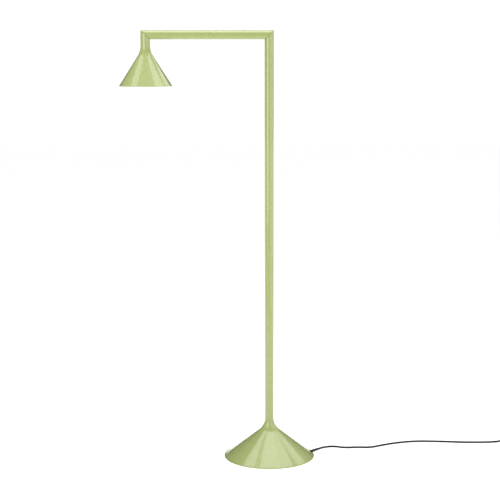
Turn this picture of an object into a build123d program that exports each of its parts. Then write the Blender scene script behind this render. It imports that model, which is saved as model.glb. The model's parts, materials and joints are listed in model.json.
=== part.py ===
from build123d import *

import os
from math import cos, degrees, pi, radians, sin, tan

# A floor lamp. A weighted conical base sweeps up into a round post, a level arm runs from the
# top of the post along -X, and a short tube drops from the arm's end into a conical shade.
# Both corners are mitres, and each mitre turns about the line square to its cut.
# Millimetres. +Z is up, and the origin is the centre of the base on the floor.

os.makedirs("parts", exist_ok=True)

# --- driving dimensions ---------------------------------------------------------------------
tube_radius = 14.0
tube_wall = 1.5
arm_height = 1336.0  # the arm's centre line above the floor
arm_reach = 380.0  # between the post's and the shade's centre lines
seam_gap = 0.8  # between the two halves of a mitre
edge_break = 0.3  # on the outer edge of each mitred tube end
rim_break = 0.5  # on the outer edges of the base's and the shade's rims

base_foot = 140.5  # the radius of the cone where it meets its rim flange
base_flange = 3.5  # how far the flange stands out beyond the cone
base_angle = radians(52.2)  # the cone's wall, measured from upright
base_neck_arc = 55.0
base_lip = 2.0  # the flange's thickness
base_rim_height = 0.8
base_wall = 1.5

shade_foot = 81.0
shade_angle = radians(32.6)
shade_neck_arc = 65.0
shade_lip = 1.3  # the upright band at the shade's rim
shade_rim_height = 1181.0
shade_wall = 1.2

swing = 170.0  # degrees each way at a mitre before its stop pin meets the land
wire_radius = 2.0
cord_radius = 3.0

# --- places that follow from them -------------------------------------------------------------
bore_radius = tube_radius - tube_wall
corner = Vector(0, 0, arm_height)
elbow = Vector(-arm_reach, 0, arm_height)
base_axis = Axis((0, 0, 0), (0, 0, 1))
shade_axis = Axis((-arm_reach, 0, 0), (0, 0, 1))
base_section = Plane.XZ
shade_section = Plane(origin=(-arm_reach, 0, 0), x_dir=(1, 0, 0), z_dir=(0, -1, 0))
# Each seam plane's own z runs from the fixed tube towards the tube that turns.
arm_seam = Plane(origin=corner, x_dir=(0, 1, 0), z_dir=(-1, 0, 1))
head_seam = Plane(origin=elbow, x_dir=(0, 1, 0), z_dir=(-1, 0, -1))


def neck_height(foot, rim_height, lip, angle, neck_arc):
    """The height at which a spun cone's neck becomes as narrow as the tube."""
    cone_end = tube_radius + neck_arc * (1 - cos(angle))
    return rim_height + lip + (foot - cone_end) / tan(angle) + neck_arc * sin(angle)


def base_inside(height):
    """The radius of the base cone's inner face at a height on its straight stretch."""
    rise = height - base_rim_height - base_lip
    return base_foot - rise * tan(base_angle) - base_wall / cos(base_angle)


def shade_inside(height):
    """The radius of the shade's inner face at a height on its straight stretch."""
    rise = height - shade_rim_height - shade_lip
    return shade_foot - rise * tan(shade_angle) - shade_wall / cos(shade_angle)


base_radius = base_foot + base_flange
base_neck = neck_height(base_foot, base_rim_height, base_lip, base_angle, base_neck_arc)
shade_neck = neck_height(shade_foot, shade_rim_height, shade_lip, shade_angle, shade_neck_arc)


# --- shapes used more than once -----------------------------------------------------------------
def save(piece, name):
    """Label a finished piece and write it to a file of its own."""
    piece.part.label = name
    export_step(piece.part, f"parts/{name}.step")


def spun_cone(section, axis, foot, flange, rim_height, lip, angle, neck_arc, wall, neck_top):
    """A spun sheet cone with a rim round its foot, and a neck that ends at the tube's size."""
    centre_r = tube_radius + neck_arc
    sweep_angle = degrees(angle)
    lip_top = rim_height + lip

    def cone_end(depth):
        arc = neck_arc + depth
        return (centre_r - arc * cos(angle), neck_top - arc * sin(angle))

    inner_end = cone_end(wall)
    inner_lip = inner_end[1] - (foot - wall - inner_end[0]) / tan(angle)
    rim_points = [(foot, lip_top), (foot + flange, lip_top)] if flange else [(foot, lip_top)]
    with BuildPart() as cone:
        with BuildSketch(section) as wall_section:
            with BuildLine():
                CenterArc((centre_r, neck_top), neck_arc, 180, sweep_angle)
                Polyline(
                    cone_end(0),
                    *rim_points,
                    (foot + flange, rim_height),
                    (foot - wall, rim_height),
                    (foot - wall, inner_lip),
                    inner_end,
                )
                CenterArc((centre_r, neck_top), neck_arc + wall, 180, sweep_angle)
                Line((tube_radius - wall, neck_top), (tube_radius, neck_top))
            make_face()
            rim_corners = [v for v in wall_section.vertices() if v.X > foot + flange - wall / 2]
            chamfer(rim_corners, length=rim_break)
        revolve(axis=axis)
    return cone


def disc(name, axis_x, bottom, thickness, outer, inner=0.0):
    """A flat disc or washer whose axis is upright."""
    with BuildPart() as piece:
        with BuildSketch(Plane(origin=(axis_x, 0, bottom))):
            Circle(outer)
            if inner:
                Circle(inner, mode=Mode.SUBTRACT)
        extrude(amount=thickness)
    save(piece, name)


def washer_on(name, plane, thickness, outer, inner):
    """A washer that stands on a plane."""
    with BuildPart() as piece:
        with BuildSketch(plane):
            Circle(outer)
            Circle(inner, mode=Mode.SUBTRACT)
        extrude(amount=thickness)
    save(piece, name)


def screws(name, planes, shank_radius, shank_length, head_radius, head_height):
    """Equal socket screws, one at each plane, the shank along the plane's z from its origin."""
    socket_depth = 0.6 * head_height
    with BuildPart() as piece:
        for plane in planes:
            with BuildSketch(plane):
                Circle(head_radius)
            extrude(amount=-head_height)
            with BuildSketch(plane):
                Circle(shank_radius)
            extrude(amount=shank_length)
            with BuildSketch(plane.offset(-head_height)):
                RegularPolygon(0.5 * head_radius, 6)
            extrude(amount=socket_depth, mode=Mode.SUBTRACT)
    save(piece, name)


def ring_of_planes(centre_x, radius, count, start_angle, height, facing):
    """Planes evenly spaced round an upright circle, each facing straight up (1) or down (-1)."""
    planes = []
    for step in range(count):
        angle = radians(start_angle + 360 * step / count)
        spot = (centre_x + radius * cos(angle), radius * sin(angle), height)
        planes.append(Plane(origin=spot, x_dir=(1, 0, 0), z_dir=(0, 0, facing)))
    return planes


def bend_radii(points):
    """The largest even arc at each corner: 0.45 of the shorter run over the half turn's tangent."""
    radii = []
    for before, at, after in zip(points, points[1:], points[2:]):
        run_in = Vector(*at) - Vector(*before)
        run_out = Vector(*after) - Vector(*at)
        half_turn = radians(run_in.get_angle(run_out)) / 2
        radii.append(0.45 * min(run_in.length, run_out.length) / tan(half_turn))
    return radii


def tube_along(name, points, radii, radius):
    """A round solid along straight runs joined by tangent arcs; prints how its volume compares."""
    with BuildPart() as tube:
        with BuildLine() as path:
            FilletPolyline(*points, radius=radii)
        with BuildSketch(Plane(origin=path.line @ 0, z_dir=path.line % 0)):
            Circle(radius)
        sweep()
    length = path.wires()[0].length
    share = tube.part.volume / (pi * radius**2 * length)
    bends = ", ".join(f"{bend:.0f}" for bend in radii)
    print(f"{name}: {length:.0f} mm long, volume share {share:.4f}, bend radii {bends}")
    save(tube, name)
    return length


# --- where the lead leaves the base ---------------------------------------------------------
# It leaves through an arch in the rim, and its line there slants across the rim.
outlet_bearing = radians(7.0)
outlet_heading = radians(42.0)
outlet_height = 5.2
outlet = Vector(base_radius * cos(outlet_bearing), base_radius * sin(outlet_bearing), outlet_height)
outlet_direction = Vector(cos(outlet_heading), sin(outlet_heading), 0)
outlet_side = Vector(-sin(outlet_heading), cos(outlet_heading), 0)
outlet_plane = Plane(origin=outlet, x_dir=outlet_side, z_dir=outlet_direction)
boot_radius = 4.0
arch_radius = boot_radius + 0.2
arch_depth = 44.0  # how far in from the rim the plate and the pad are cut away


def outlet_cutter(half_width):
    """The shape of an opening for the boot, open at the floor."""
    with BuildPart() as cutter:
        with BuildSketch(outlet_plane):
            Circle(arch_radius)
            with Locations((0, -outlet_height / 2)):
                Rectangle(2 * half_width, outlet_height)
        extrude(amount=arch_depth, both=True)
    return cutter.part


# --- base shell, pad and plate ------------------------------------------------------------------
rim_cutter = outlet_cutter(arch_radius)
floor_cutter = outlet_cutter(arch_radius + 1)
base_blank = spun_cone(base_section, base_axis, base_foot, base_flange, base_rim_height, base_lip,
                       base_angle, base_neck_arc, base_wall, base_neck)
with BuildPart() as base_cone:
    add(base_blank.part)
    add(rim_cutter, mode=Mode.SUBTRACT)
save(base_cone, "base_cone")

pad_thickness = 2.0
plate_thickness = 1.5
weight_bottom = pad_thickness + plate_thickness
weight_top = 20.0
weight_radius = base_inside(weight_bottom) - 4
weight_top_radius = weight_radius - (weight_top - weight_bottom) * tan(base_angle)
plate_radius = base_inside(weight_bottom) - 0.4
pad_radius = plate_radius - 2
plate_screw_circle = 92.0
plate_screw_count = 6
plate_screw_start = 30.0
flange_screw_circle = 24.0
flange_screw_count = 4
flange_screw_start = 45.0


def circles_on(radius, count, start, hole_radius):
    """Equal circles evenly spaced round the base's axis, in the sketch being drawn."""
    with PolarLocations(radius, count, start_angle=start):
        Circle(hole_radius)


with BuildPart() as floor_pad:
    with BuildSketch():
        Circle(pad_radius)
    extrude(amount=pad_thickness)
    with BuildSketch():
        circles_on(plate_screw_circle, plate_screw_count, plate_screw_start, 5.5)
    extrude(amount=pad_thickness, mode=Mode.SUBTRACT)
    add(floor_cutter, mode=Mode.SUBTRACT)
save(floor_pad, "floor_pad")

with BuildPart() as bottom_plate:
    with BuildSketch(Plane.XY.offset(pad_thickness)):
        Circle(plate_radius)
    extrude(amount=plate_thickness)
    with BuildSketch(Plane.XY.offset(pad_thickness)):
        circles_on(plate_screw_circle, plate_screw_count, plate_screw_start, 2.2)
    extrude(amount=plate_thickness, mode=Mode.SUBTRACT)
    add(floor_cutter, mode=Mode.SUBTRACT)
save(bottom_plate, "bottom_plate")

# --- iron weight --------------------------------------------------------------------------------
# A channel in its underside takes the lead, and a window lets the lead up to the top.
channel_width = 2 * cord_radius + 6
channel_depth = 10.0
window_start = 45.0  # from the rim, along the lead's line
window_length = 42.0
flange_thickness = 5.0
counterbore_depth = 6.0
with BuildPart() as base_weight:
    with BuildSketch(base_section):
        Polygon(
            (0, weight_bottom),
            (weight_radius, weight_bottom),
            (weight_top_radius, weight_top),
            (0, weight_top),
            align=None,
        )
    revolve(axis=base_axis)
    with BuildSketch(Plane.XY.offset(weight_bottom)):
        circles_on(plate_screw_circle, plate_screw_count, plate_screw_start, 1.75)
    extrude(amount=9, mode=Mode.SUBTRACT)
    with BuildSketch(Plane.XY.offset(weight_bottom)):
        circles_on(flange_screw_circle, flange_screw_count, flange_screw_start, 3.3)
    extrude(amount=weight_top, mode=Mode.SUBTRACT)
    with BuildSketch(Plane.XY.offset(weight_bottom)):
        circles_on(flange_screw_circle, flange_screw_count, flange_screw_start, 6)
    extrude(amount=counterbore_depth, mode=Mode.SUBTRACT)
    with BuildSketch(outlet_plane):
        with Locations((0, weight_bottom + channel_depth / 2 - outlet_height)):
            Rectangle(channel_width, channel_depth)
    extrude(amount=-(window_start + window_length), mode=Mode.SUBTRACT)
    with BuildSketch(outlet_plane.offset(-window_start)):
        Rectangle(channel_width, 4 * weight_top)
    extrude(amount=-window_length, mode=Mode.SUBTRACT)
save(base_weight, "base_weight")

screws("plate_screws",
       ring_of_planes(0, plate_screw_circle, plate_screw_count, plate_screw_start,
                      pad_thickness, 1),
       1.7, 8.0, 3.4, 1.6)
screws("weight_screws",
       ring_of_planes(0, flange_screw_circle, flange_screw_count, flange_screw_start,
                      weight_bottom + counterbore_depth, 1),
       3.0, weight_top + flange_thickness - weight_bottom - counterbore_depth - 0.5, 5.0, 5.0)

# --- spigot that holds the post upright on the weight -------------------------------------------
flange_radius = 32.0
spigot_radius = bore_radius - 0.05
spigot_bore = 9.5
spigot_top = base_neck + 60
wire_entry = 56.0  # the height of the hole that lets the wire in
with BuildPart() as post_spigot:
    with BuildSketch(Plane.XY.offset(weight_top)):
        Circle(flange_radius)
    extrude(amount=flange_thickness)
    with BuildSketch(Plane.XY.offset(weight_top)):
        Circle(spigot_radius)
    extrude(amount=spigot_top - weight_top)
    with BuildSketch(Plane.XY.offset(weight_top)):
        Circle(spigot_bore)
        circles_on(flange_screw_circle, flange_screw_count, flange_screw_start, 3.0)
    extrude(amount=spigot_top, mode=Mode.SUBTRACT)
    with BuildSketch(Plane.XZ):
        with Locations((0, wire_entry)):
            Circle(wire_radius + 1.5)
    extrude(amount=2 * tube_radius, mode=Mode.SUBTRACT)
save(post_spigot, "post_spigot")

# --- LED driver on top of the weight --------------------------------------------------------------
driver_length = 80.0
driver_width = 34.0
driver_height = 20.0
driver_wall = 1.8
driver_y = -52.0
driver_floor = Plane(origin=(0, driver_y, weight_top))
driver_roof = driver_floor.offset(driver_height)
lead_height = weight_top + cord_radius + 0.2
wire_exit_y = 7.0  # from the driver's middle, towards the post
ear_places = [(side * (driver_length / 2 - 14), -driver_width / 2 - 4) for side in (-1, 1)]
with BuildPart() as driver_case:
    with BuildSketch(driver_floor):
        RectangleRounded(driver_length, driver_width, 3)
    extrude(amount=driver_height)
    fillet(driver_case.faces().sort_by(Axis.Z)[-1].edges(), radius=1.2)
    with BuildSketch(driver_floor):
        with Locations(*ear_places):
            RectangleRounded(12, 12, 2)
    extrude(amount=2.5)
    with BuildSketch(driver_floor):
        Rectangle(driver_length - 2 * driver_wall, driver_width - 2 * driver_wall)
    extrude(amount=driver_height - driver_wall, mode=Mode.SUBTRACT)
    with BuildSketch(driver_floor):
        with Locations(*ear_places):
            Circle(1.8)
    extrude(amount=2.5, mode=Mode.SUBTRACT)
    with BuildSketch(Plane(origin=(driver_length / 2, driver_y, lead_height), z_dir=(1, 0, 0))):
        Circle(cord_radius + 0.15)
    extrude(amount=8, both=True, mode=Mode.SUBTRACT)
    with BuildSketch(driver_roof):
        with Locations((0, wire_exit_y)):
            Circle(wire_radius + 0.3)
    extrude(amount=5, both=True, mode=Mode.SUBTRACT)
save(driver_case, "driver_case")

board_length = driver_length - 2 * driver_wall - 10
board_width = driver_width - 2 * driver_wall - 1
board_plane = Plane(origin=(-4, driver_y, weight_top + 3))
with BuildPart() as driver_board:
    with BuildSketch(board_plane):
        Rectangle(board_length, board_width)
    extrude(amount=1.6)
    with BuildSketch(board_plane.offset(1.6)):
        with Locations((-18, -3)):
            Rectangle(16, 14)
        with Locations((3, -8)):
            Circle(4)
        with Locations((18, -2)):
            Rectangle(8, 16)
    extrude(amount=8)
save(driver_board, "driver_board")

ear_planes = [
    Plane(origin=(x, driver_y + y, weight_top + 2.5), x_dir=(1, 0, 0), z_dir=(0, 0, -1))
    for x, y in ear_places
]
screws("driver_screws", ear_planes, 1.75, 2.4, 3.0, 2.0)

# --- lead inside the base ------------------------------------------------------------------------
boot_inside = 12.0  # the length of the boot's straight part inside the rim
lead_start = outlet - outlet_direction * boot_inside
lead_low = outlet - outlet_direction * 40
lead_low.Z = weight_bottom + cord_radius + 0.2
lead_high = outlet - outlet_direction * 74
lead_high.Z = lead_height
lead_turn = Vector(60, driver_y, lead_height)
lead_end = Vector(driver_length / 2 - 8, driver_y, lead_height)
base_lead_points = [tuple(point) for point in (lead_start, lead_low, lead_high, lead_turn, lead_end)]
tube_along("base_lead", base_lead_points, bend_radii(base_lead_points), cord_radius)

# A saddle clamps the lead to the weight between the window and the driver.
clamp_middle = (lead_high + lead_turn) / 2
clamp_along = (lead_turn - lead_high).normalized()
clamp_plane = Plane(origin=clamp_middle - clamp_along * 4, x_dir=Vector(0, 0, 1).cross(clamp_along),
                    z_dir=clamp_along)
clamp_feet = lead_height - weight_top  # from the lead's centre line down to the weight
clamp_bore = cord_radius + 0.3
clamp_screw_planes = []
for side in (-1, 1):
    spot = clamp_middle + clamp_plane.x_dir * (10 * side)
    spot.Z = weight_top + 2.4
    clamp_screw_planes.append(Plane(origin=spot, x_dir=(1, 0, 0), z_dir=(0, 0, -1)))
with BuildPart() as cord_clamp:
    with BuildSketch(clamp_plane):
        with Locations((0, -clamp_feet / 2)):
            Rectangle(2 * clamp_bore + 4, clamp_feet)
        Circle(clamp_bore + 2)
        with Locations((0, 1.2 - clamp_feet)):
            Rectangle(28, 2.4)
        with Locations((0, -5 - clamp_feet)):
            Rectangle(40, 10, mode=Mode.SUBTRACT)
        Circle(clamp_bore, mode=Mode.SUBTRACT)
        with Locations((0, -clamp_feet / 2)):
            Rectangle(2 * clamp_bore, clamp_feet, mode=Mode.SUBTRACT)
    extrude(amount=8)
    for plane in clamp_screw_planes:
        with BuildSketch(plane):
            Circle(1.6)
        extrude(amount=2.4, mode=Mode.SUBTRACT)
save(cord_clamp, "cord_clamp")
screws("clamp_screws", clamp_screw_planes, 1.5, 2.35, 2.7, 1.8)

# --- boot where the lead leaves the base ------------------------------------------------------
boot_outside = 26.0
boot_tip_radius = cord_radius + 0.4
boot_section = Plane(origin=outlet, x_dir=outlet_direction, z_dir=(0, 0, 1))
boot_axis = Axis(outlet, outlet_direction)
with BuildPart() as cord_boot:
    with BuildSketch(boot_section):
        Polygon(
            (-boot_inside, cord_radius),
            (-boot_inside, boot_radius),
            (4, boot_radius),
            (boot_outside, boot_tip_radius),
            (boot_outside, cord_radius),
            align=None,
        )
        for ring in range(5):
            with Locations((7 + 3.6 * ring, boot_radius)):
                Rectangle(1.2, 0.9, mode=Mode.SUBTRACT)
    revolve(axis=boot_axis)
save(cord_boot, "cord_boot")

# --- tubes of the post, arm and head --------------------------------------------------------------
post_end = arm_seam.offset(-seam_gap / 2)
arm_start = arm_seam.offset(seam_gap / 2)
arm_end = head_seam.offset(-seam_gap / 2)
head_start = head_seam.offset(seam_gap / 2)
overrun = 2 * tube_radius


def soften_mitres(builder):
    """Break the outer edge of each mitred end of the tube being built."""
    ends = builder.edges().filter_by(GeomType.ELLIPSE)
    longest = max(edge.length for edge in ends)
    fillet([edge for edge in ends if edge.length > 0.99 * longest], radius=edge_break)


with BuildPart() as post:
    with BuildSketch(Plane.XY.offset(base_neck)):
        Circle(tube_radius)
        Circle(bore_radius, mode=Mode.SUBTRACT)
    extrude(amount=arm_height + overrun - base_neck)
    split(bisect_by=post_end, keep=Keep.BOTTOM)
    soften_mitres(post)
save(post, "post")

with BuildPart() as arm_tube:
    with BuildSketch(Plane(origin=(overrun, 0, arm_height), x_dir=(0, 1, 0), z_dir=(-1, 0, 0))):
        Circle(tube_radius)
        Circle(bore_radius, mode=Mode.SUBTRACT)
    extrude(amount=arm_reach + 2 * overrun)
    split(bisect_by=arm_start, keep=Keep.TOP)
    split(bisect_by=arm_end, keep=Keep.BOTTOM)
    soften_mitres(arm_tube)
save(arm_tube, "arm_tube")

with BuildPart() as head_tube:
    with BuildSketch(Plane(origin=(-arm_reach, 0, shade_neck))):
        Circle(tube_radius)
        Circle(bore_radius, mode=Mode.SUBTRACT)
    extrude(amount=arm_height + overrun - shade_neck)
    split(bisect_by=head_start, keep=Keep.TOP)
    soften_mitres(head_tube)
save(head_tube, "head_tube")

# --- turning mitres -------------------------------------------------------------------------------
end_plate_thickness = 3.5
pivot_radius = 5.0
pivot_bore = wire_radius + 1.0
pivot_head_radius = 8.0
pivot_head_thickness = 2.5
running_clearance = 0.06
friction_washer_radius = 7.8
spring_washer_thickness = 1.0
nut_flats_radius = 7.0
nut_thickness = 4.0
stop_pin_radius = 1.0
stop_pin_circle = 9.3
stop_groove_width = 2.5
stop_groove_depth = 1.8
stop_land = 2 * (stop_pin_circle * sin(radians(180 - swing)) - stop_pin_radius - 0.05)
plate_inner = seam_gap / 2
plate_outer = plate_inner + end_plate_thickness


def plate_blank(seam, tube_plane, side):
    """The oval plate that closes a tube's mitred end, on one side of its seam, as a solid."""
    near = seam.offset(side * plate_inner)
    far = seam.offset(side * plate_outer)
    outward, inward = (Keep.TOP, Keep.BOTTOM) if side > 0 else (Keep.BOTTOM, Keep.TOP)
    with BuildPart() as blank:
        with BuildSketch(tube_plane.offset(-2 * overrun)):
            Circle(bore_radius)
        extrude(amount=4 * overrun)
        split(bisect_by=near, keep=outward)
        split(bisect_by=far, keep=inward)
    return blank.part


def fixed_plate(name, seam, tube_plane):
    """The plate on the still side, with holes that grip the pivot and the stop pin."""
    blank = plate_blank(seam, tube_plane, -1)
    with BuildPart() as plate:
        add(blank)
        with BuildSketch(seam):
            Circle(pivot_radius)
        extrude(amount=-overrun, mode=Mode.SUBTRACT)
        with BuildSketch(seam):
            with Locations((stop_pin_circle, 0)):
                Circle(stop_pin_radius)
        extrude(amount=-plate_inner - 2.5, mode=Mode.SUBTRACT)
    save(plate, name)


def turning_plate(name, seam, tube_plane):
    """The plate on the turning side, with a running hole and the stop pin's curved groove."""
    blank = plate_blank(seam, tube_plane, 1)
    with BuildPart() as plate:
        add(blank)
        with BuildSketch(seam):
            Circle(pivot_radius + running_clearance)
        extrude(amount=overrun, mode=Mode.SUBTRACT)
        with BuildSketch(seam):
            Circle(stop_pin_circle + stop_groove_width / 2)
            Circle(stop_pin_circle - stop_groove_width / 2, mode=Mode.SUBTRACT)
            with Locations((-stop_pin_circle, 0)):
                Rectangle(2 * stop_groove_width, stop_land, mode=Mode.SUBTRACT)
        extrude(amount=plate_inner + stop_groove_depth, mode=Mode.SUBTRACT)
    save(plate, name)


def turning_mitre(prefix, seam):
    """The pivot, washers, nut and stop pin that hold a mitre together and let it turn."""
    nut_face = plate_outer + spring_washer_thickness
    pivot_top = nut_face + nut_thickness + 1
    with BuildPart() as pivot:
        with BuildSketch(seam.offset(-plate_outer)):
            Circle(pivot_head_radius)
        extrude(amount=-pivot_head_thickness)
        with BuildSketch(seam.offset(-plate_outer)):
            Circle(pivot_radius)
        extrude(amount=plate_outer + pivot_top)
        with BuildSketch(seam.offset(-overrun)):
            Circle(pivot_bore)
        extrude(amount=2 * overrun, mode=Mode.SUBTRACT)
    save(pivot, f"{prefix}_pivot")

    washer_on(f"{prefix}_friction_washer", seam.offset(-plate_inner), seam_gap,
              friction_washer_radius, pivot_radius + running_clearance)
    washer_on(f"{prefix}_spring_washer", seam.offset(plate_outer), spring_washer_thickness,
              nut_flats_radius, pivot_radius + running_clearance)

    with BuildPart() as nut:
        with BuildSketch(seam.offset(nut_face)):
            RegularPolygon(nut_flats_radius, 6, major_radius=False)
            Circle(pivot_radius, mode=Mode.SUBTRACT)
        extrude(amount=nut_thickness)
    save(nut, f"{prefix}_pivot_nut")

    with BuildPart() as stop_pin:
        with BuildSketch(seam.offset(-plate_inner - 2.5)):
            with Locations((stop_pin_circle, 0)):
                Circle(stop_pin_radius)
        extrude(amount=2.5 + seam_gap + stop_groove_depth - 0.3)
    save(stop_pin, f"{prefix}_stop_pin")


post_tube_plane = Plane(origin=corner)
arm_tube_plane = Plane(origin=corner, z_dir=(-1, 0, 0))
arm_tube_end_plane = Plane(origin=elbow, z_dir=(-1, 0, 0))
head_tube_plane = Plane(origin=elbow)
fixed_plate("post_end_plate", arm_seam, post_tube_plane)
turning_plate("arm_inner_plate", arm_seam, arm_tube_plane)
turning_mitre("arm", arm_seam)
fixed_plate("arm_outer_plate", head_seam, arm_tube_end_plane)
turning_plate("head_end_plate", head_seam, head_tube_plane)
turning_mitre("head", head_seam)

# --- shade ------------------------------------------------------------------------------------------
shade = spun_cone(shade_section, shade_axis, shade_foot, 0, shade_rim_height, shade_lip,
                  shade_angle, shade_neck_arc, shade_wall, shade_neck)
save(shade, "shade")

# --- lamp parts inside the shade ----------------------------------------------------------------
side_run = 10.0  # the wire beside the centre line where it meets a hollow pivot
bush_bottom = shade_neck + 1.5
bush_thickness = 7.0
rod_radius = 4.0
sink_bottom = shade_rim_height + 47
sink_plate = 5.0
sink_top = sink_bottom + 24
sink_radius = shade_inside(sink_bottom + sink_plate) - 3
sink_top_radius = shade_inside(sink_top) - 3
fin_root = 14.0
fin_gap = 3.0
fin_count = 20

with BuildPart() as neck_bush:
    with BuildSketch(Plane(origin=(-arm_reach, 0, bush_bottom))):
        Circle(bore_radius)
        Circle(rod_radius, mode=Mode.SUBTRACT)
        with Locations((-bore_radius, 0)):
            Rectangle(2 * (bore_radius - side_run + wire_radius + 0.4), 2 * wire_radius + 1,
                      mode=Mode.SUBTRACT)
    extrude(amount=bush_thickness)
save(neck_bush, "neck_bush")

rod_bottom = sink_bottom - 5
with BuildPart() as head_rod:
    with BuildSketch(Plane(origin=(-arm_reach, 0, rod_bottom))):
        Circle(rod_radius)
    extrude(amount=bush_bottom + bush_thickness - rod_bottom)
save(head_rod, "head_rod")

cup_seat = 2.0  # the cup's thickness under its screw heads
cup_screw_radius = 1.25
cup_screw_head = 2.2
cup_screw_grip = 3.5
cup_screw_planes = ring_of_planes(-arm_reach, 41.0, 3, 90, sink_bottom - cup_seat, 1)
with BuildPart() as heat_sink:
    with BuildSketch(shade_section):
        Polygon(
            (0, sink_bottom),
            (sink_radius, sink_bottom),
            (sink_radius, sink_bottom + sink_plate),
            (sink_top_radius, sink_top),
            (0, sink_top),
            align=None,
        )
    revolve(axis=shade_axis)
    with BuildSketch(Plane(origin=(-arm_reach, 0, sink_bottom + sink_plate))):
        with PolarLocations(fin_root + sink_radius / 2, fin_count, start_angle=9):
            Rectangle(sink_radius, fin_gap)
    extrude(amount=sink_top, mode=Mode.SUBTRACT)
    with BuildSketch(Plane(origin=(-arm_reach, 0, sink_bottom))):
        Circle(rod_radius)
        with Locations((-side_run, 0)):
            Circle(wire_radius + 0.3)
    extrude(amount=sink_top, mode=Mode.SUBTRACT)
    for plane in cup_screw_planes:
        with BuildSketch(plane):
            Circle(cup_screw_radius)
        extrude(amount=cup_seat + cup_screw_grip, mode=Mode.SUBTRACT)
save(heat_sink, "heat_sink")

rod_nut_flats = 6.5
rod_nut_thickness = 4.0
with BuildPart() as rod_nuts:
    for height in (sink_bottom - rod_nut_thickness, sink_top):
        with BuildSketch(Plane(origin=(-arm_reach, 0, height))):
            RegularPolygon(rod_nut_flats, 6, major_radius=False)
            Circle(rod_radius, mode=Mode.SUBTRACT)
        extrude(amount=rod_nut_thickness)
save(rod_nuts, "rod_nuts")

board_thickness = 1.6
led_board_radius = 34.0
led_board_bottom = sink_bottom - board_thickness
with BuildPart() as led_board:
    with BuildSketch(Plane(origin=(-arm_reach, 0, led_board_bottom))):
        Circle(led_board_radius)
        Circle(8.5, mode=Mode.SUBTRACT)
        with Locations((-side_run, 0)):
            Circle(wire_radius + 0.3, mode=Mode.SUBTRACT)
    extrude(amount=board_thickness)
save(led_board, "led_board")

chip_height = 0.8
with BuildPart() as led_chips:
    with BuildSketch(Plane(origin=(-arm_reach, 0, led_board_bottom - chip_height))):
        with PolarLocations(17, 8):
            Rectangle(3.5, 2.8)
        with PolarLocations(27, 14):
            Rectangle(3.5, 2.8)
    extrude(amount=chip_height)
save(led_chips, "led_chips")

# A white cup runs from the heat sink down to the diffuser.
diffuser_top = shade_rim_height + 23.5
diffuser_thickness = 2.5
cup_flange_radius = shade_inside(diffuser_top + 2) - 2.6
cup_mouth = cup_flange_radius - 2.5
cup_throat = 38.0
cup_wall = 1.0
with BuildPart() as reflector:
    with BuildSketch(shade_section):
        Polygon(
            (cup_throat, sink_bottom),
            (cup_throat, sink_bottom - cup_wall),
            (cup_mouth, diffuser_top + cup_wall),
            (cup_mouth, diffuser_top),
            (cup_flange_radius, diffuser_top),
            (cup_flange_radius, diffuser_top + cup_wall),
            (cup_mouth + cup_wall, diffuser_top + cup_wall),
            (sink_radius - 0.5, sink_bottom - cup_wall - 2),
            (sink_radius - 0.5, sink_bottom),
            align=None,
        )
    revolve(axis=shade_axis)
    for plane in cup_screw_planes:
        with BuildSketch(plane):
            Circle(cup_screw_radius)
        extrude(amount=cup_seat, mode=Mode.SUBTRACT)
        with BuildSketch(plane):
            Circle(cup_screw_head + 0.2)
        extrude(amount=-10, mode=Mode.SUBTRACT)
save(reflector, "reflector")
screws("cup_screws", cup_screw_planes, cup_screw_radius, cup_seat + cup_screw_grip,
       cup_screw_head, 1.4)

disc("diffuser", -arm_reach, diffuser_top - diffuser_thickness, diffuser_thickness,
     cup_flange_radius)

# The ring snaps round the cup's flange and holds the diffuser up against it.
ring_wall = 1.0
ring_lip = 3.5
ring_bottom = diffuser_top - diffuser_thickness - 1.2
ring_radius = cup_flange_radius + 0.1 + ring_wall
with BuildPart() as diffuser_ring:
    with BuildSketch(shade_section):
        Polygon(
            (ring_radius - ring_lip, ring_bottom),
            (ring_radius, ring_bottom),
            (ring_radius, diffuser_top + cup_wall + 0.8),
            (ring_radius - ring_wall, diffuser_top + cup_wall + 0.8),
            (ring_radius - ring_wall, ring_bottom + 1.2),
            (ring_radius - ring_lip, ring_bottom + 1.2),
            align=None,
        )
    revolve(axis=shade_axis)
save(diffuser_ring, "diffuser_ring")

# --- wires inside the tubes -----------------------------------------------------------------------
# A wire crosses each mitre through its hollow pivot, and runs beside the centre line there.
settle_start = 28.0
settle_end = 56.0
pivot_bend = 14.0
easy_bend = 30.0
entry_bend = 8.0
tube_along(
    "post_wire",
    [
        (0, driver_y + wire_exit_y, weight_top + driver_height - 4),
        (0, driver_y + wire_exit_y, wire_entry),
        (0, 0, wire_entry),
        (0, 0, arm_height - settle_end),
        (side_run, 0, arm_height - settle_start),
        (side_run, 0, arm_height - side_run),
        (0, 0, arm_height),
    ],
    [entry_bend, entry_bend, easy_bend, easy_bend, pivot_bend],
    wire_radius,
)
tube_along(
    "arm_wire",
    [
        (0, 0, arm_height),
        (-side_run, 0, arm_height + side_run),
        (-settle_start, 0, arm_height + side_run),
        (-settle_end, 0, arm_height),
        (settle_end - arm_reach, 0, arm_height),
        (settle_start - arm_reach, 0, arm_height + side_run),
        (side_run - arm_reach, 0, arm_height + side_run),
        (-arm_reach, 0, arm_height),
    ],
    [pivot_bend, easy_bend, easy_bend, easy_bend, easy_bend, pivot_bend],
    wire_radius,
)
tube_along(
    "head_wire",
    [
        (-arm_reach, 0, arm_height),
        (-arm_reach - side_run, 0, arm_height - side_run),
        (-arm_reach - side_run, 0, led_board_bottom),
    ],
    [pivot_bend],
    wire_radius,
)

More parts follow.
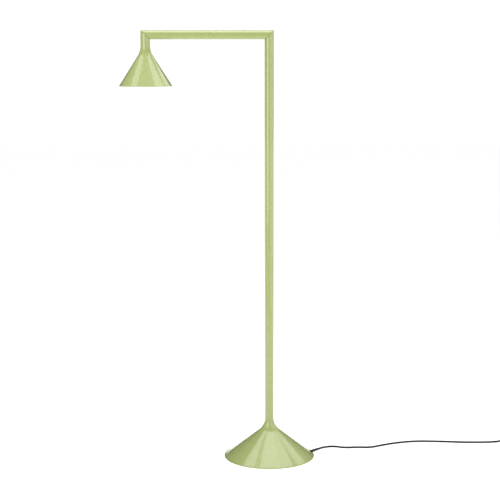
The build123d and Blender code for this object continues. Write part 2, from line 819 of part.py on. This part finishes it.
# --- places of the foot switch, the coil and the plug on the floor --------------------------------
switch_x = 860.0
switch_y = 52.0
switch_length = 84.0
switch_width = 38.0
switch_split = 8.0  # the height of the lead, where the housing's two halves meet
switch_top = 22.0
switch_inset = 8.0  # how far the lead reaches into the housing
switch_start = switch_x - switch_length / 2
switch_end = switch_x + switch_length / 2

turn_gap = 0.2
turn_pitch = 2 * cord_radius + turn_gap
turns_per_layer = 3.125
tie_thickness = 0.9
coil_x = 925.0
coil_y = -30.0
coil_outer = 43.6  # the outermost turn's centre line
coil_inner = coil_outer - turn_pitch * turns_per_layer
coil_low = tie_thickness + cord_radius
coil_high = coil_low + turn_pitch
coil_axis = Axis((coil_x, coil_y, 0), (0, 0, 1))

plug_y = -66.0
plug_thickness = 13.7
plug_height = plug_thickness / 2
plug_front = 795.0
plug_back = 831.0
plug_relief_end = 852.0

# --- lead on the floor ------------------------------------------------------------------------------
floor_height = cord_radius + 0.1
outlet_reach = outlet + outlet_direction * 30
lead_to_switch_points = [
    tuple(lead_start),
    (outlet_reach.X, outlet_reach.Y, outlet_height - 0.3),
    (188, 60, floor_height),
    (222, 66, floor_height),
    (252, 45.5, floor_height),
    (298, 47, floor_height),
    (338, 38.5, floor_height),
    (378, 58, floor_height),
    (432, 80, floor_height),
    (500, 92, floor_height),
    (576, 80, floor_height),
    (650, 62, floor_height),
    (714, 54, floor_height),
    (762, 53, floor_height),
    (794, switch_y, switch_split),
    (switch_start + switch_inset, switch_y, switch_split),
]
lead_to_coil_points = [
    (switch_end - switch_inset, switch_y, switch_split),
    (switch_end + 24, switch_y, switch_split),
    (956, 45, coil_low + 0.1),
    (972, 18, coil_low),
    (coil_x + coil_outer + 0.6, -8, coil_low),
    (coil_x + coil_outer, -26, coil_low),
]
lead_to_plug_points = [
    (coil_x, coil_y - coil_outer, coil_high),
    (coil_x - 24, coil_y - coil_outer - 0.4, coil_high),
    (876, -69.5, coil_low + 1.2),
    (plug_relief_end, plug_y - 0.2, plug_height - 0.1),
    (plug_back - 1, plug_y, plug_height),
]
lead_length = 0
for stretch, stretch_points in (
    ("lead_to_switch", lead_to_switch_points),
    ("lead_to_coil", lead_to_coil_points),
    ("lead_to_plug", lead_to_plug_points),
):
    stretch_bends = bend_radii(stretch_points)
    lead_length += tube_along(stretch, stretch_points, stretch_bends, cord_radius)
coil_length = 2 * turns_per_layer * pi * (coil_outer + coil_inner)
print(f"lead with its coil: {lead_length + coil_length:.0f} mm")

# The coil's solid is the outer shape of its turns, two layers deep.
with BuildPart() as lead_coil:
    with BuildSketch(Plane(origin=(coil_x, coil_y, 0), x_dir=(1, 0, 0), z_dir=(0, -1, 0))):
        with Locations(((coil_outer + coil_inner) / 2, (coil_low + coil_high) / 2)):
            RectangleRounded(coil_outer - coil_inner + 2 * cord_radius,
                             turn_pitch + 2 * cord_radius, 2.5)
    revolve(axis=coil_axis)
save(lead_coil, "lead_coil")

tie_bearing = 127.0
tie_arc = 16.0
tie_middle = Plane(
    origin=(coil_x, coil_y, 0),
    x_dir=(cos(radians(tie_bearing)), sin(radians(tie_bearing)), 0),
    z_dir=(sin(radians(tie_bearing)), -cos(radians(tie_bearing)), 0),
)
tie_width = coil_outer - coil_inner + 2 * cord_radius
tie_height = turn_pitch + 2 * cord_radius
with BuildPart() as coil_tie:
    with BuildSketch(tie_middle):
        with Locations(((coil_outer + coil_inner) / 2, (coil_low + coil_high) / 2)):
            RectangleRounded(tie_width + 2 * tie_thickness, tie_height + 2 * tie_thickness, 3)
            RectangleRounded(tie_width, tie_height, 2.5, mode=Mode.SUBTRACT)
    revolve(axis=coil_axis, revolution_arc=tie_arc)
save(coil_tie, "coil_tie")

# --- foot switch ------------------------------------------------------------------------------------
switch_wall = 2.0
switch_floor = Plane(origin=(switch_x, switch_y, 0))
button_radius = 13.0
button_gap = 0.35
button_travel = 2.2
button_proud = 4.0
stem_radius = 2.0
module_top = 14.5
pillar_places = [(side * 22, row * 12.5) for side in (-1, 1) for row in (-1, 1)]
pillar_radius = 3.2
switch_screw_radius = 1.4
stub_radius = 4.2
with BuildPart() as lead_holes:
    with BuildSketch(Plane(origin=(switch_x, switch_y, switch_split), z_dir=(1, 0, 0))):
        Circle(stub_radius)
    extrude(amount=switch_length, both=True)

with BuildPart() as switch_base:
    with BuildSketch(switch_floor):
        SlotOverall(switch_length, switch_width)
    extrude(amount=switch_split)
    fillet(switch_base.faces().sort_by(Axis.Z)[0].edges(), radius=1.5)
    with BuildSketch(switch_floor.offset(switch_wall)):
        SlotOverall(switch_length - 2 * switch_wall, switch_width - 2 * switch_wall)
    extrude(amount=switch_split, mode=Mode.SUBTRACT)
    with BuildSketch(switch_floor.offset(switch_wall)):
        with Locations(*pillar_places):
            Circle(pillar_radius)
    extrude(amount=switch_split - switch_wall)
    add(lead_holes.part, mode=Mode.SUBTRACT)
    with BuildSketch(switch_floor):
        with Locations(*pillar_places):
            Circle(2.8)
    extrude(amount=2.5, mode=Mode.SUBTRACT)
    with BuildSketch(switch_floor):
        with Locations(*pillar_places):
            Circle(switch_screw_radius + 0.1)
    extrude(amount=switch_split, mode=Mode.SUBTRACT)
save(switch_base, "switch_base")

with BuildPart() as switch_cover:
    with BuildSketch(switch_floor.offset(switch_split)):
        SlotOverall(switch_length, switch_width)
    extrude(amount=switch_top - switch_split)
    fillet(switch_cover.faces().sort_by(Axis.Z)[-1].edges(), radius=5)
    with BuildSketch(switch_floor.offset(switch_split)):
        SlotOverall(switch_length - 2 * switch_wall, switch_width - 2 * switch_wall)
    extrude(amount=switch_top - switch_split - 5, mode=Mode.SUBTRACT)
    with BuildSketch(switch_floor.offset(switch_split)):
        SlotOverall(switch_length - 12, switch_width - 8)
    extrude(amount=switch_top - switch_split - switch_wall, mode=Mode.SUBTRACT)
    with BuildSketch(switch_floor.offset(switch_split)):
        with Locations(*pillar_places):
            Circle(pillar_radius)
    extrude(amount=switch_top - switch_split - switch_wall)
    add(lead_holes.part, mode=Mode.SUBTRACT)
    with BuildSketch(switch_floor.offset(switch_split)):
        with Locations(*pillar_places):
            Circle(switch_screw_radius)
    extrude(amount=8, mode=Mode.SUBTRACT)
    with BuildSketch(switch_floor.offset(switch_split)):
        Circle(button_radius + button_gap)
    extrude(amount=switch_top, mode=Mode.SUBTRACT)
save(switch_cover, "switch_cover")

switch_screw_planes = [
    Plane(origin=(switch_x + x, switch_y + y, 2.5), x_dir=(1, 0, 0), z_dir=(0, 0, 1))
    for x, y in pillar_places
]
screws("switch_screws", switch_screw_planes, switch_screw_radius, 12, 2.6, 1.8)

with BuildPart() as switch_module:
    with BuildSketch(switch_floor.offset(switch_wall)):
        RectangleRounded(20, 16, 1)
    extrude(amount=module_top - switch_wall)
    with BuildSketch(switch_floor.offset(module_top)):
        Circle(stem_radius + 0.3)
    extrude(amount=-6, mode=Mode.SUBTRACT)
save(switch_module, "switch_module")

# The button is held up against the cover by a flange under it, and its stem works the module.
flange_top = switch_top - switch_wall - 0.1
with BuildPart() as switch_button:
    with BuildSketch(switch_floor.offset(flange_top - 1.2)):
        Circle(button_radius + 2)
    extrude(amount=1.2)
    with BuildSketch(switch_floor.offset(flange_top)):
        Circle(button_radius)
    extrude(amount=switch_top + button_proud - flange_top)
    fillet(switch_button.edges().sort_by(Axis.Z)[-1], radius=2.5)
    with BuildSketch(switch_floor.offset(flange_top - 1.2)):
        Circle(stem_radius)
    extrude(amount=-(flange_top - 1.2 - module_top + 2.5))
save(switch_button, "switch_button")

boot_length = 20.0
stub_length = 4.0
relief_tip_radius = cord_radius + 0.8
with BuildPart() as switch_boots:
    for face_x, outward in ((switch_start, -1), (switch_end, 1)):
        with BuildSketch(Plane(origin=(face_x, switch_y, switch_split), x_dir=(outward, 0, 0),
                               z_dir=(0, outward, 0))):
            Polygon(
                (-stub_length, cord_radius),
                (-stub_length, stub_radius - 0.1),
                (0.1, stub_radius - 0.1),
                (0.1, stub_radius + 1.2),
                (boot_length, relief_tip_radius),
                (boot_length, cord_radius),
                align=None,
            )
        revolve(axis=Axis((face_x, switch_y, switch_split), (outward, 0, 0)))
save(switch_boots, "switch_boots")

# --- plug ---------------------------------------------------------------------------------------------
pin_spacing = 18.6
pin_length = 19.0
pin_sleeve = 10.0
pin_radius = 2.0
pin_core = 1.4
pin_seat = 6.0
plug_half_width = 17.65
plug_front_half = 13.0
plug_back_half = 7.0
plug_axis_plane = Plane(origin=(plug_front, plug_y, plug_height), x_dir=(0, 1, 0), z_dir=(-1, 0, 0))
pin_places = [(side * pin_spacing / 2, 0) for side in (-1, 1)]
with BuildPart() as plug_body:
    with BuildSketch(Plane.XY):
        with Locations((0, plug_y)):
            Polygon(
                (plug_front, plug_front_half),
                (plug_front, -plug_front_half),
                (plug_front + 9, -plug_half_width),
                (plug_front + 18, -plug_half_width),
                (plug_back, -plug_back_half),
                (plug_back, plug_back_half),
                (plug_front + 18, plug_half_width),
                (plug_front + 9, plug_half_width),
                align=None,
            )
    extrude(amount=plug_thickness)
    fillet(plug_body.edges().filter_by(Axis.Z), radius=2)
    fillet(plug_body.faces().sort_by(Axis.Z)[-1].edges(), radius=1.5)
    fillet(plug_body.faces().sort_by(Axis.Z)[0].edges(), radius=1.5)
    with BuildSketch(Plane(origin=(plug_back - 1, plug_y, plug_height), x_dir=(1, 0, 0),
                           z_dir=(0, -1, 0))):
        Polygon(
            (0, 0),
            (0, 5.6),
            (plug_relief_end - plug_back + 1, relief_tip_radius),
            (plug_relief_end - plug_back + 1, 0),
            align=None,
        )
    revolve(axis=Axis((plug_back, plug_y, plug_height), (1, 0, 0)))
    with BuildSketch(Plane(origin=(plug_back - 1, plug_y, plug_height), z_dir=(1, 0, 0))):
        Circle(cord_radius)
    extrude(amount=40, mode=Mode.SUBTRACT)
    with BuildSketch(plug_axis_plane):
        with Locations(*pin_places):
            Circle(pin_radius - 0.1)
    extrude(amount=pin_sleeve)
    with BuildSketch(plug_axis_plane.offset(pin_sleeve)):
        with Locations(*pin_places):
            Circle(pin_core)
    extrude(amount=-pin_sleeve - pin_seat, mode=Mode.SUBTRACT)
save(plug_body, "plug_body")

with BuildPart() as plug_pins:
    with BuildSketch(plug_axis_plane.offset(-pin_seat)):
        with Locations(*pin_places):
            Circle(pin_core)
    extrude(amount=pin_seat + pin_sleeve)
    with BuildSketch(plug_axis_plane.offset(pin_sleeve)):
        with Locations(*pin_places):
            Circle(pin_radius)
    extrude(amount=pin_length - pin_sleeve)
    fillet(plug_pins.faces().sort_by(Axis.X)[:2].edges(), radius=1.5)
save(plug_pins, "plug_pins")
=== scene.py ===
import json
import math

import bpy
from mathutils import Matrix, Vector


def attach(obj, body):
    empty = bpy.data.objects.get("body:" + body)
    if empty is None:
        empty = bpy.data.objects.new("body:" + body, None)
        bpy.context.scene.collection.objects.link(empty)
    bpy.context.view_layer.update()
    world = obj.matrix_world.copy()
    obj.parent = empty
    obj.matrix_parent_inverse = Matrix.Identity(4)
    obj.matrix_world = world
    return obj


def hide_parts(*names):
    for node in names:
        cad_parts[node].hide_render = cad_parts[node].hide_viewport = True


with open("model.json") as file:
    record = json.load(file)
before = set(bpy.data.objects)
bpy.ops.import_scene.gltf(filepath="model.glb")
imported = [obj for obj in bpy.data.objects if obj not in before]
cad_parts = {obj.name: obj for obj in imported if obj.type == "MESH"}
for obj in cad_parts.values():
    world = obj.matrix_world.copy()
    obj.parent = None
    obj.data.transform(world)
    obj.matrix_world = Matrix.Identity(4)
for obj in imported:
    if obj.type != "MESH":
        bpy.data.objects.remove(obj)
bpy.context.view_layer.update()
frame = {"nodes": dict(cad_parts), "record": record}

nodes = frame["nodes"]

# --- camera -----------------------------------------------------------------------------------------
camera_data = bpy.data.cameras.new("camera")
camera_data.sensor_width = 36.0
camera_data.lens = 92.264
camera_data.clip_start = 0.1
camera_data.clip_end = 60.0
camera = bpy.data.objects.new("camera", camera_data)
camera.location = (-0.4774, -3.9573, 1.2584)
camera.rotation_euler = (math.pi / 2 - 0.1469, 0.0023, -0.1052)
bpy.context.scene.collection.objects.link(camera)
bpy.context.scene.camera = camera

# --- lead: routes ---------------------------------------------------------------------------------
CORD_RADIUS = 0.003
lead_route = [
    (0.13401, 0.00952, 0.0052),
    (0.16522, 0.03762, 0.0049),
    (0.188, 0.060, 0.0031),
    (0.222, 0.066, 0.0031),
    (0.252, 0.0455, 0.0031),
    (0.298, 0.047, 0.0031),
    (0.338, 0.0385, 0.0031),
    (0.378, 0.058, 0.0031),
    (0.432, 0.080, 0.0031),
    (0.500, 0.092, 0.0031),
    (0.576, 0.080, 0.0031),
    (0.650, 0.062, 0.0031),
    (0.714, 0.054, 0.0031),
    (0.762, 0.053, 0.0031),
    (0.794, 0.052, 0.008),
    (0.826, 0.052, 0.008),
]
from_switch = [
    (0.894, 0.052, 0.008),
    (0.926, 0.052, 0.008),
    (0.956, 0.045, 0.004),
    (0.972, 0.018, 0.0039),
    (0.9692, -0.008, 0.0039),
]
to_plug = [
    (0.901, -0.074, 0.0101),
    (0.876, -0.0695, 0.0051),
    (0.852, -0.0662, 0.00675),
    (0.830, -0.066, 0.00685),
]

# The put-away turns spiral in along the floor, step up, and spiral out on top.
COIL_CENTRE = Vector((0.925, -0.030))
COIL_OUTER = 0.0436
COIL_LOW = 0.0039
TURN_PITCH = 0.0062
LAYER_TURNS = 3.125
STEPS_PER_TURN = 16
ROUNDING = 1.0195  # the spline runs this much inside its control points on a circle
total_steps = round(2 * LAYER_TURNS * STEPS_PER_TURN)
coil_points = []
for step in range(1, total_steps):
    turn = step / STEPS_PER_TURN
    from_middle = turn - LAYER_TURNS
    radius = COIL_OUTER - TURN_PITCH * (LAYER_TURNS - abs(from_middle))
    rise = min(max(from_middle / 0.5 + 0.5, 0.0), 1.0)
    angle = -2 * math.pi * turn
    coil_points.append((
        COIL_CENTRE.x + ROUNDING * radius * math.cos(angle),
        COIL_CENTRE.y + ROUNDING * radius * math.sin(angle),
        COIL_LOW + TURN_PITCH * rise * rise * (3 - 2 * rise),
    ))
plug_route = from_switch + coil_points + to_plug


def cord_curve(name, points):
    """A round cord on one smooth spline."""
    data = bpy.data.curves.new(name, "CURVE")
    data.dimensions = "3D"
    data.bevel_depth = 1.0  # each point carries the radius, which also keeps the box of the curve true
    data.bevel_resolution = 6
    data.use_fill_caps = True
    data.resolution_u = 12
    spline = data.splines.new("NURBS")
    spline.points.add(len(points) - 1)
    for point, place in zip(spline.points, points):
        point.co = (*place, 1.0)
        point.radius = CORD_RADIUS
    spline.order_u = 3
    spline.use_endpoint_u = True
    piece = bpy.data.objects.new(name, data)
    bpy.context.scene.collection.objects.link(piece)
    return piece


lead = cord_curve("lead", lead_route)
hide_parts("lead_to_switch")
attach(lead, "stand")

plug_lead = cord_curve("plug_lead", plug_route)
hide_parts("lead_to_coil", "lead_coil", "lead_to_plug")
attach(plug_lead, "stand")


# --- materials -------------------------------------------------------------------------------------
RAMP_PLACES = (0.3, 0.7)


def srgb(red, green, blue):
    """A display colour, 0 to 255, as the linear colour that a shader takes."""
    linear = []
    for value in (red, green, blue):
        c = value / 255
        linear.append(c / 12.92 if c <= 0.04045 else ((c + 0.055) / 1.055) ** 2.4)
    return tuple(linear)


def new_material(name):
    material = bpy.data.materials.new(name)
    material.use_nodes = True
    return material, material.node_tree, material.node_tree.nodes["Principled BSDF"]


def noise(tree, scale, detail, roughness):
    """Noise over the object's own coordinates, in metres; returns its value output."""
    place = tree.nodes.new("ShaderNodeTexCoord")
    texture = tree.nodes.new("ShaderNodeTexNoise")
    texture.inputs["Scale"].default_value = scale
    texture.inputs["Detail"].default_value = detail
    texture.inputs["Roughness"].default_value = roughness
    tree.links.new(place.outputs["Object"], texture.inputs["Vector"])
    return texture.outputs["Fac"]


def ramp(tree, source, low, high):
    """A value or colour that runs from low to high over the middle of the noise's range."""
    node = tree.nodes.new("ShaderNodeValToRGB")
    for element, place, value in zip(node.color_ramp.elements, RAMP_PLACES, (low, high)):
        element.position = place
        element.color = (*value, 1.0) if isinstance(value, tuple) else (value, value, value, 1.0)
    tree.links.new(source, node.inputs["Fac"])
    return node.outputs["Color"]


def bump(tree, shader, source, strength, distance):
    """Fine relief from a value."""
    node = tree.nodes.new("ShaderNodeBump")
    node.inputs["Strength"].default_value = strength
    node.inputs["Distance"].default_value = distance
    tree.links.new(source, node.inputs["Height"])
    tree.links.new(node.outputs["Normal"], shader.inputs["Normal"])


def surface(name, light, dark, patch, rough, relief, metallic=0.0, coat=0.0, coat_rough=0.1,
            specular=0.5):
    """A material whose colour, roughness and relief all vary a little with noise."""
    material, tree, shader = new_material(name)
    colour = ramp(tree, noise(tree, patch, 4.0, 0.55), dark, light)
    tree.links.new(colour, shader.inputs["Base Color"])
    gloss = ramp(tree, noise(tree, patch * 3, 5.0, 0.6), *rough)
    tree.links.new(gloss, shader.inputs["Roughness"])
    shader.inputs["Metallic"].default_value = metallic
    shader.inputs["Coat Weight"].default_value = coat
    shader.inputs["Coat Roughness"].default_value = coat_rough
    shader.inputs["Specular IOR Level"].default_value = specular
    scale, strength, distance = relief
    bump(tree, shader, noise(tree, scale, 3.0, 0.5), strength, distance)
    return material


paint = surface("green_paint", srgb(148, 161, 91), srgb(145, 158, 87), 9.0, (0.24, 0.32),
                (900.0, 0.05, 0.0003), coat=1.0, coat_rough=0.04, specular=0.6)
# Painted shade: near-black with the green paint's tint, so the mitre plates read as the dark shadow gap
# at the seams rather than their own colour.
plate_painted_seam_shade = surface("plate_painted_seam_shade", srgb(34, 38, 22), srgb(28, 32, 18), 60.0, (0.42, 0.55),
                      (1500.0, 0.15, 0.0003), specular=0.2)
zinc = surface("zinc", (0.62, 0.62, 0.60), (0.50, 0.50, 0.49), 120.0, (0.28, 0.42),
               (2500.0, 0.08, 0.0002), metallic=1.0)
brass = surface("brass", (0.78, 0.60, 0.30), (0.70, 0.52, 0.24), 150.0, (0.20, 0.32),
                (2500.0, 0.06, 0.0002), metallic=1.0)
aluminium = surface("aluminium", (0.80, 0.80, 0.81), (0.70, 0.70, 0.71), 90.0, (0.30, 0.45),
                    (1800.0, 0.10, 0.0003), metallic=1.0)
pad_rubber = surface("pad_rubber", (0.035, 0.035, 0.036), (0.022, 0.022, 0.023), 60.0, (0.70, 0.85),
                     (1200.0, 0.35, 0.0006))
lead_rubber = surface("lead_rubber", (0.010, 0.010, 0.011), (0.006, 0.006, 0.007), 120.0,
                      (0.48, 0.62), (2200.0, 0.20, 0.0003), specular=0.16)
black_plastic = surface("black_plastic", (0.016, 0.016, 0.017), (0.010, 0.010, 0.011), 90.0,
                        (0.42, 0.55), (3200.0, 0.35, 0.0003), specular=0.25)
cup_white = surface("cup_white", (0.86, 0.86, 0.84), (0.80, 0.80, 0.78), 60.0, (0.40, 0.52),
                    (2200.0, 0.12, 0.0003))
opal = surface("opal_cover", (0.88, 0.88, 0.85), (0.82, 0.82, 0.79), 40.0, (0.45, 0.60),
               (2600.0, 0.18, 0.0003))
cast_iron = surface("cast_iron", (0.09, 0.09, 0.09), (0.05, 0.05, 0.05), 80.0, (0.55, 0.75),
                    (700.0, 0.5, 0.001), metallic=0.6)
# Painted shade: the friction washers are made near-black so the seam gap between the mitred tubes reads
# dark.
washer_painted_seam_shade = surface("washer_painted_seam_shade", (0.020, 0.021, 0.016), (0.014, 0.015, 0.011), 90.0, (0.40, 0.50),
                 (2600.0, 0.10, 0.0003), specular=0.3)
grey_case = surface("grey_case", (0.28, 0.29, 0.30), (0.23, 0.24, 0.25), 70.0, (0.45, 0.60),
                    (2000.0, 0.25, 0.0003))
board_green = surface("board_green", (0.020, 0.10, 0.040), (0.012, 0.07, 0.028), 160.0, (0.30, 0.42),
                      (1800.0, 0.10, 0.0002))
board_white = surface("board_white", (0.80, 0.82, 0.78), (0.72, 0.74, 0.70), 160.0, (0.35, 0.48),
                      (1800.0, 0.10, 0.0002))
phosphor = surface("phosphor", (0.85, 0.62, 0.12), (0.75, 0.52, 0.08), 300.0, (0.35, 0.45),
                   (3000.0, 0.10, 0.0002))
wire_white = surface("wire_white", (0.74, 0.74, 0.74), (0.66, 0.66, 0.66), 120.0, (0.40, 0.52),
                     (2200.0, 0.12, 0.0003))

slot_materials = {
    "painted_green": paint, "black_rubber": lead_rubber, "pad_rubber": pad_rubber,
    "plate_steel": plate_painted_seam_shade, "iron": cast_iron, "steel": zinc, "aluminium": aluminium,
    "cup_white": cup_white, "opal": opal, "board": board_white, "chips": phosphor,
    "case_grey": grey_case, "board_green": board_green, "bearing_plastic": washer_painted_seam_shade,
    "wire_white": wire_white, "black_plastic": black_plastic, "brass": brass,
}
for subpart in frame["record"]["subparts"]:
    mesh = nodes[subpart["node"]].data
    mesh.materials.clear()
    mesh.materials.append(slot_materials[subpart["material_slot"]])
for piece in (lead, plug_lead):
    piece.data.materials.append(lead_rubber)


# --- floor and lights ------------------------------------------------------------------------------
floor_mesh = bpy.data.meshes.new("floor")
FLOOR_REACH = 15
floor_corners = [(x * FLOOR_REACH, y * FLOOR_REACH, 0) for x, y in ((-1, -1), (1, -1), (1, 1), (-1, 1))]
floor_mesh.from_pydata(floor_corners, [], [(0, 1, 2, 3)])
floor = bpy.data.objects.new("floor", floor_mesh)
bpy.context.scene.collection.objects.link(floor)
floor_paper, _, floor_shader = new_material("floor_paper")
floor_shader.inputs["Base Color"].default_value = (0.80, 0.80, 0.80, 1.0)
floor_shader.inputs["Roughness"].default_value = 0.9
floor_shader.inputs["Specular IOR Level"].default_value = 0.1
floor_shader.inputs["Emission Color"].default_value = (1.0, 1.0, 1.0, 1.0)
floor_shader.inputs["Emission Strength"].default_value = 0.56
floor_mesh.materials.append(floor_paper)


def softbox(name, place, target, width, height, radiance):
    """A soft rectangular light that faces the target, as bright all over as asked."""
    data = bpy.data.lights.new(name, "AREA")
    data.shape = "RECTANGLE"
    data.size = width
    data.size_y = height
    data.energy = radiance * math.pi * width * height
    light = bpy.data.objects.new(name, data)
    light.location = place
    aim = Vector(target) - Vector(place)
    light.rotation_euler = aim.to_track_quat("-Z", "Y").to_euler()
    bpy.context.scene.collection.objects.link(light)


def world_light(strength, backdrop):
    """A grey surround for the lamp, darker at the back, and a white backdrop behind it."""
    world = bpy.data.worlds.new("studio")
    bpy.context.scene.world = world
    world.use_nodes = True
    tree = world.node_tree
    surround = tree.nodes["Background"]
    surround.inputs["Color"].default_value = (1.0, 1.0, 1.0, 1.0)
    toward = tree.nodes.new("ShaderNodeTexCoord")
    split = tree.nodes.new("ShaderNodeSeparateXYZ")
    fade = tree.nodes.new("ShaderNodeMapRange")
    fade.inputs["From Min"].default_value = 0.35
    fade.inputs["From Max"].default_value = 0.90
    fade.inputs["To Min"].default_value = strength
    fade.inputs["To Max"].default_value = strength * 0.2
    tree.links.new(toward.outputs["Generated"], split.inputs["Vector"])
    tree.links.new(split.outputs["Y"], fade.inputs["Value"])
    tree.links.new(fade.outputs["Result"], surround.inputs["Strength"])
    white = tree.nodes.new("ShaderNodeBackground")
    white.inputs["Color"].default_value = (1.0, 1.0, 1.0, 1.0)
    white.inputs["Strength"].default_value = backdrop
    ray = tree.nodes.new("ShaderNodeLightPath")
    mix = tree.nodes.new("ShaderNodeMixShader")
    tree.links.new(ray.outputs["Is Camera Ray"], mix.inputs["Fac"])
    tree.links.new(surround.outputs["Background"], mix.inputs[1])
    tree.links.new(white.outputs["Background"], mix.inputs[2])
    tree.links.new(mix.outputs["Shader"], tree.nodes["World Output"].inputs["Surface"])


CEILING = 2.5


def ceiling_panel(name, left, right, front, back, radiance):
    """A soft light that lies flat above the lamp and faces straight down."""
    middle = ((left + right) / 2, (front + back) / 2)
    softbox(name, (*middle, CEILING), (*middle, 0.0), right - left, back - front, radiance)


world_light(0.62, 1.05)
ceiling_panel("overhead", -0.60, 0.70, -0.50, 0.90, 2.6)
ceiling_panel("overhead_front", -0.95, 0.70, -1.10, -0.50, 0.5)
ceiling_panel("overhead_left", -1.60, -0.70, -0.50, 0.90, 2.1)
ceiling_panel("overhead_right", 0.70, 1.60, -0.50, 0.60, 2.0)
ceiling_panel("overhead_back", 1.20, 2.80, 0.60, 2.20, 1.5)
softbox("left_box", (-1.45, -1.6, 1.30), (0.0, 0.0, 0.95), 1.3, 1.7, 2.7)
softbox("right_box", (1.45, -1.45, 1.0), (0.0, 0.0, 0.8), 1.6, 1.9, 1.1)
softbox("right_wall", (2.8, 0.6, 1.2), (0.0, 0.0, 1.0), 2.0, 2.0, 0.7)

bpy.context.scene.view_settings.view_transform = "Standard"
